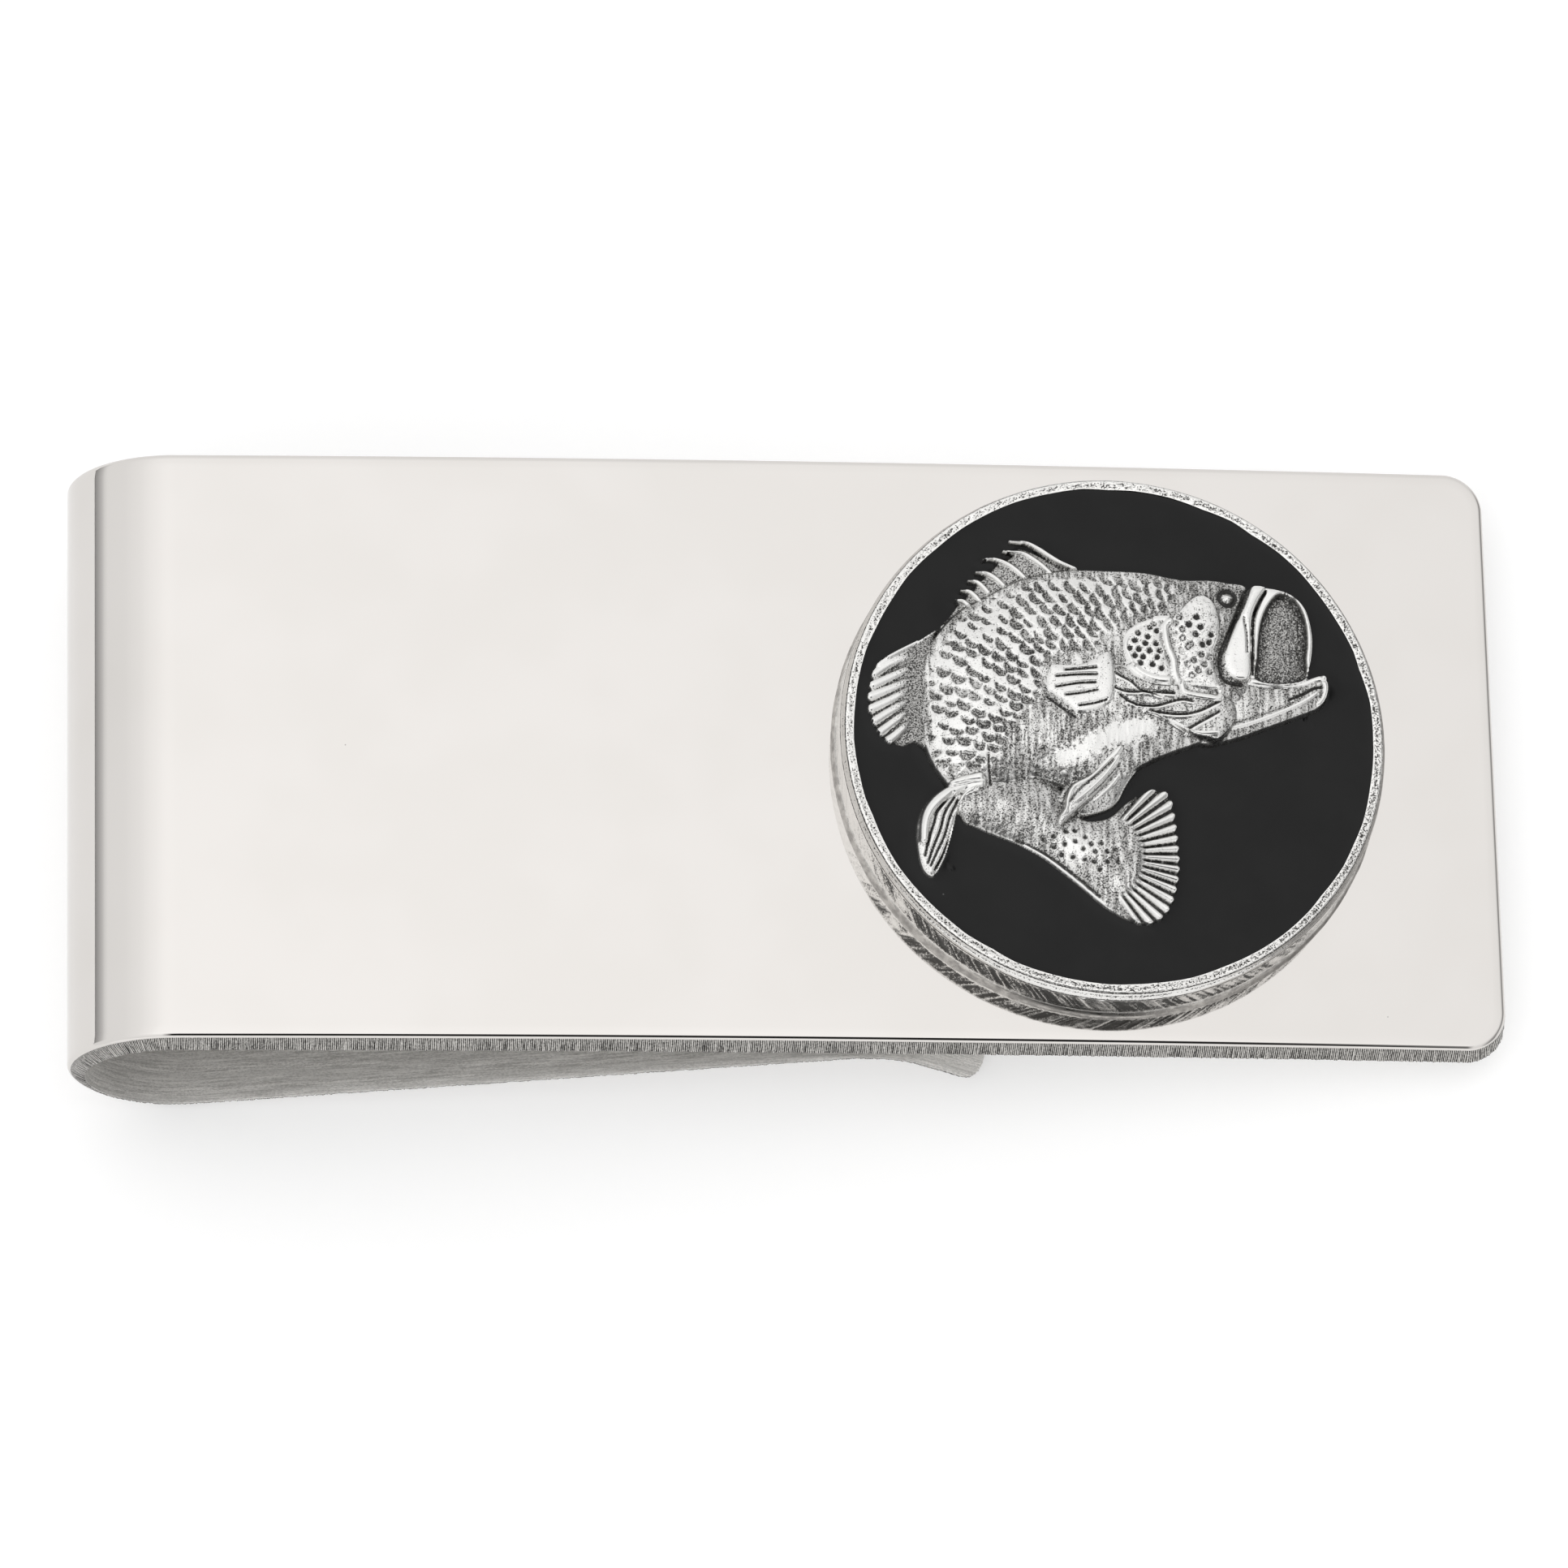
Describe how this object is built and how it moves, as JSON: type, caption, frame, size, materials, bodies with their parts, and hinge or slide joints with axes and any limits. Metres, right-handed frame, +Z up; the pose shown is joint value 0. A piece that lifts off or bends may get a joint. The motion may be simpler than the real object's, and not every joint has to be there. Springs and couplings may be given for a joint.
{
  "type": "money clip",
  "caption": "Folded sprung-metal money clip with a round medallion: a leaping bass in relief on glossy black enamel inside a narrow raised rim.",
  "frame": {"origin": "on the surface the clip lies on, under the centre of its box", "axes": "+X from the fold towards the open end, +Z up, away from the surface it lies on, medallion side up"},
  "size_m": [0.0552, 0.0234, 0.0083],
  "materials": {
    "polished_strip": "mirror polished outside, lengthwise satin brushed inside, sheared striated edges",
    "antiqued_casting": "cast silver-coloured metal, blackened in its recesses and buffed on its high points",
    "black_enamel": "glossy hard enamel",
    "solder": "bright solder"
  },
  "bodies": {
    "front": {"front_plate": "polished_strip", "solder_layer": "solder", "medallion": "antiqued_casting", "enamel_fill": "black_enamel", "bass_relief": "antiqued_casting"},
    "tongue": {"spring_tongue": "polished_strip"}
  },
  "joints": [
    {"name": "tongue_flex", "type": "hinge", "parent": "front", "child": "tongue", "pos_m": [-0.02752, 0, 0.00467], "axis": [0, 1, 0], "range_deg": [0, 9], "stiffness_Nm_per_rad": 1, "springref_deg": -1.15}
  ]
}
